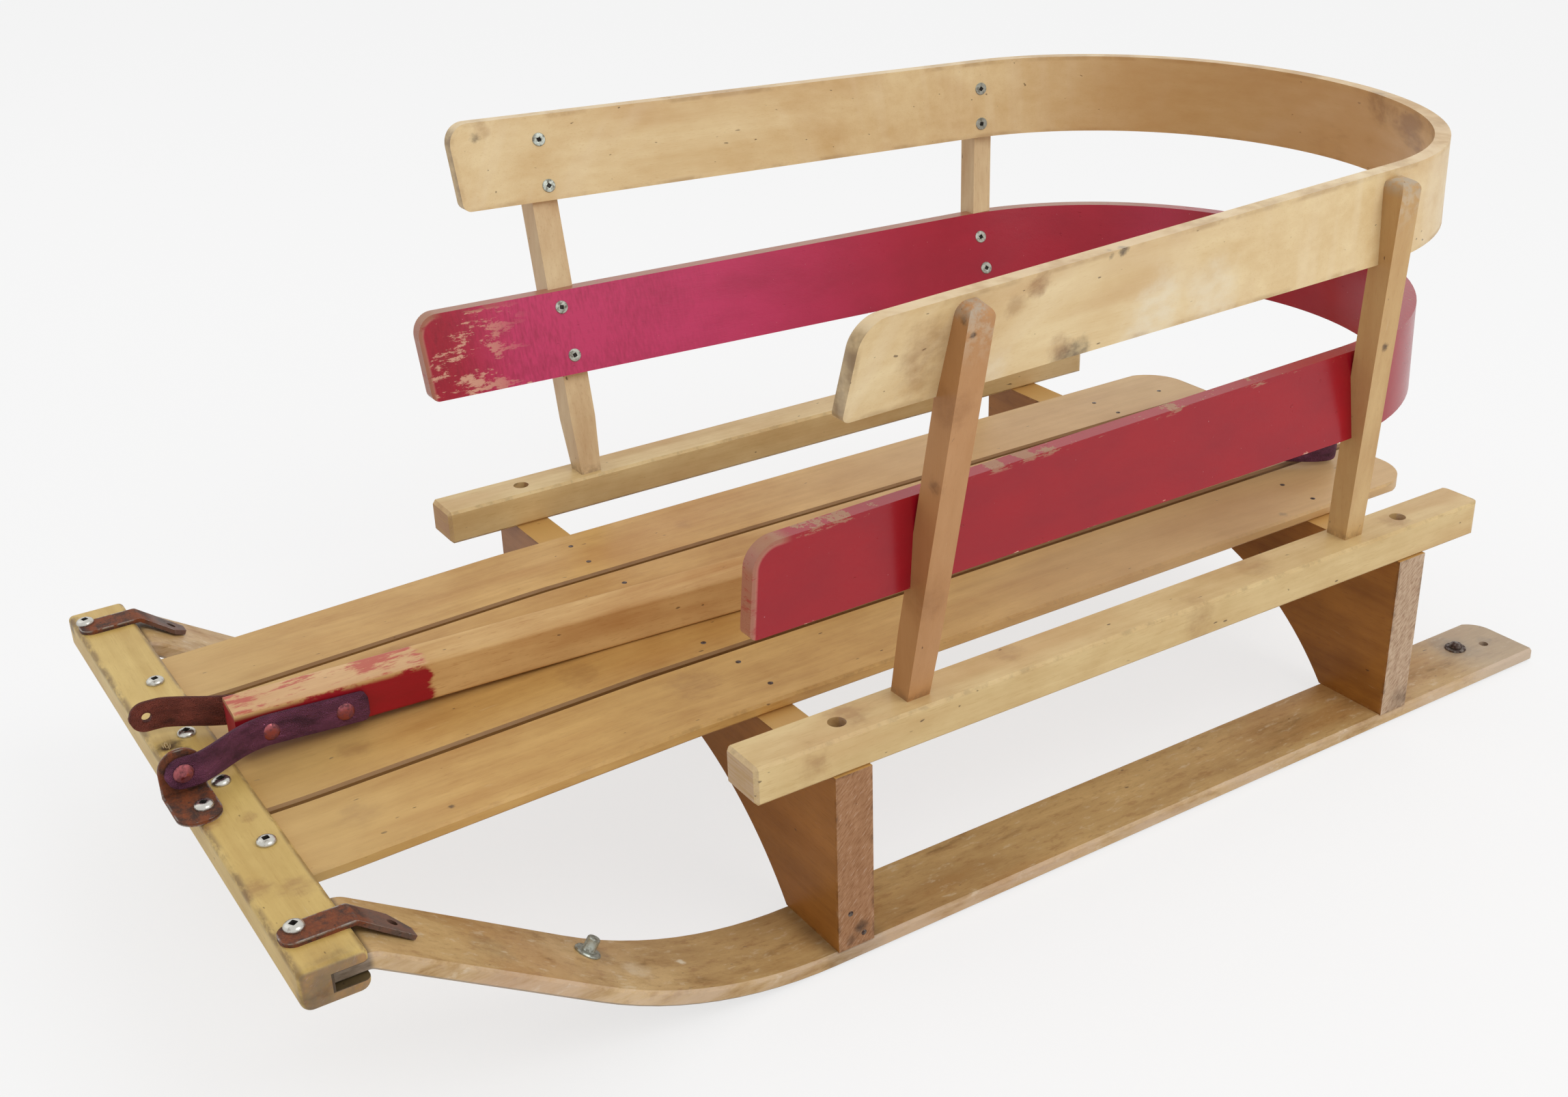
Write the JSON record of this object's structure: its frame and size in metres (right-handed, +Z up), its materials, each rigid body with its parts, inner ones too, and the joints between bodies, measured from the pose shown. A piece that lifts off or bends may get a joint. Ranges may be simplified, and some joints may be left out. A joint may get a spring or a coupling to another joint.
{
  "type": "wooden child's snow sled",
  "caption": "Wooden snow sled for a small child: bent runners, slatted deck, two bent hoops round the seat and a folding pull pole on a leather hinge.",
  "frame": {"origin": "on the ground under the middle of the sled's length and width, where the runners rest", "axes": "+Z up, forward is -Y, +X is the sled's left side"},
  "size_m": [0.413, 0.7174, 0.308],
  "materials": {
    "runner_wood": "worn varnish",
    "deck_wood": "worn varnish",
    "bolster_wood": "varnish",
    "rail_wood": "worn varnish",
    "stake_wood": "varnish",
    "hoop_wood": "varnish",
    "red_paint": "gloss paint",
    "bar_wood": "worn varnish",
    "rusty_steel": "rusted",
    "pole_wood": "bare, with red paint at its front end",
    "leather": "worn leather"
  },
  "bodies": {
    "sled": {"nose_bar": "bar_wood", "bolster_front": "bolster_wood", "bolster_rear": "bolster_wood", "slat_1": "deck_wood", "slat_2": "deck_wood", "slat_3": "deck_wood", "slat_4": "deck_wood", "hoop_upper": "hoop_wood", "hoop_lower": "red_paint", "runner_left": "runner_wood", "rail_left": "rail_wood", "stake_front_left": "stake_wood", "stake_rear_left": "stake_wood", "bracket_left": "rusty_steel", "runner_right": "runner_wood", "rail_right": "rail_wood", "stake_front_right": "stake_wood", "stake_rear_right": "stake_wood", "bracket_right": "rusty_steel", "tow_tab": "rusty_steel", "pivot_rivet": "rusty_steel"},
    "pole": {"pull_pole": "pole_wood", "strap_left": "leather", "strap_right": "leather", "hand_loop": "leather"}
  },
  "joints": [
    {"name": "pole_swing", "type": "hinge", "parent": "sled", "child": "pole", "pos_m": [0.03651, -0.34925, 0.1162], "axis": [1, 0, 0], "range_deg": [0, 189]}
  ]
}
